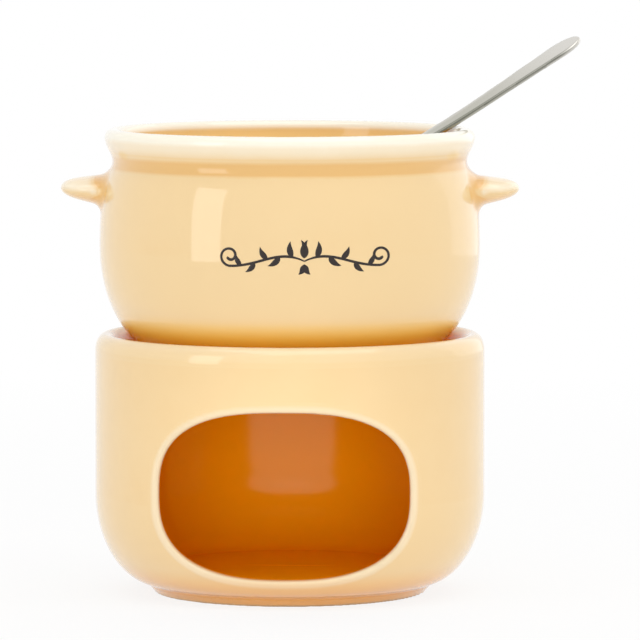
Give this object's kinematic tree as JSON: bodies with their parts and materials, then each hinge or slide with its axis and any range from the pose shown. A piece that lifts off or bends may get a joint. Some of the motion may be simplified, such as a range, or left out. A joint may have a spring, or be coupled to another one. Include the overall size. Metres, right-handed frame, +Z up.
{
  "type": "tealight fondue pot with burner stand",
  "caption": "Round-bellied glazed fondue pot with side lugs, seated in a cylindrical tealight stand with a wide front window, and a steel dipping fork leaning in it.",
  "frame": {"origin": "centre of the stand's foot ring, on the table", "axes": "+Z up along the axis of the stand and the pot; the stand's window faces -Y; the pot's lugs lie along X"},
  "size_m": [0.1467, 0.1098, 0.156],
  "materials": {
    "stand_glaze": "gloss",
    "pot_glaze": "gloss",
    "fork_steel": "polished"
  },
  "bodies": {
    "stand": {"burner_stand": "stand_glaze"},
    "pot": {"pot_body": "pot_glaze", "left_lug": "pot_glaze", "right_lug": "pot_glaze"},
    "fork": {"dipping_fork": "fork_steel"}
  },
  "joints": [
    {"name": "pot_lift", "type": "slide", "parent": "stand", "child": "pot", "axis": [0, 0, 1], "range_m": [0, 0.1]},
    {"name": "fork_lift", "type": "slide", "parent": "pot", "child": "fork", "axis": [0, 0, 1], "range_m": [0, 0.09]}
  ]
}
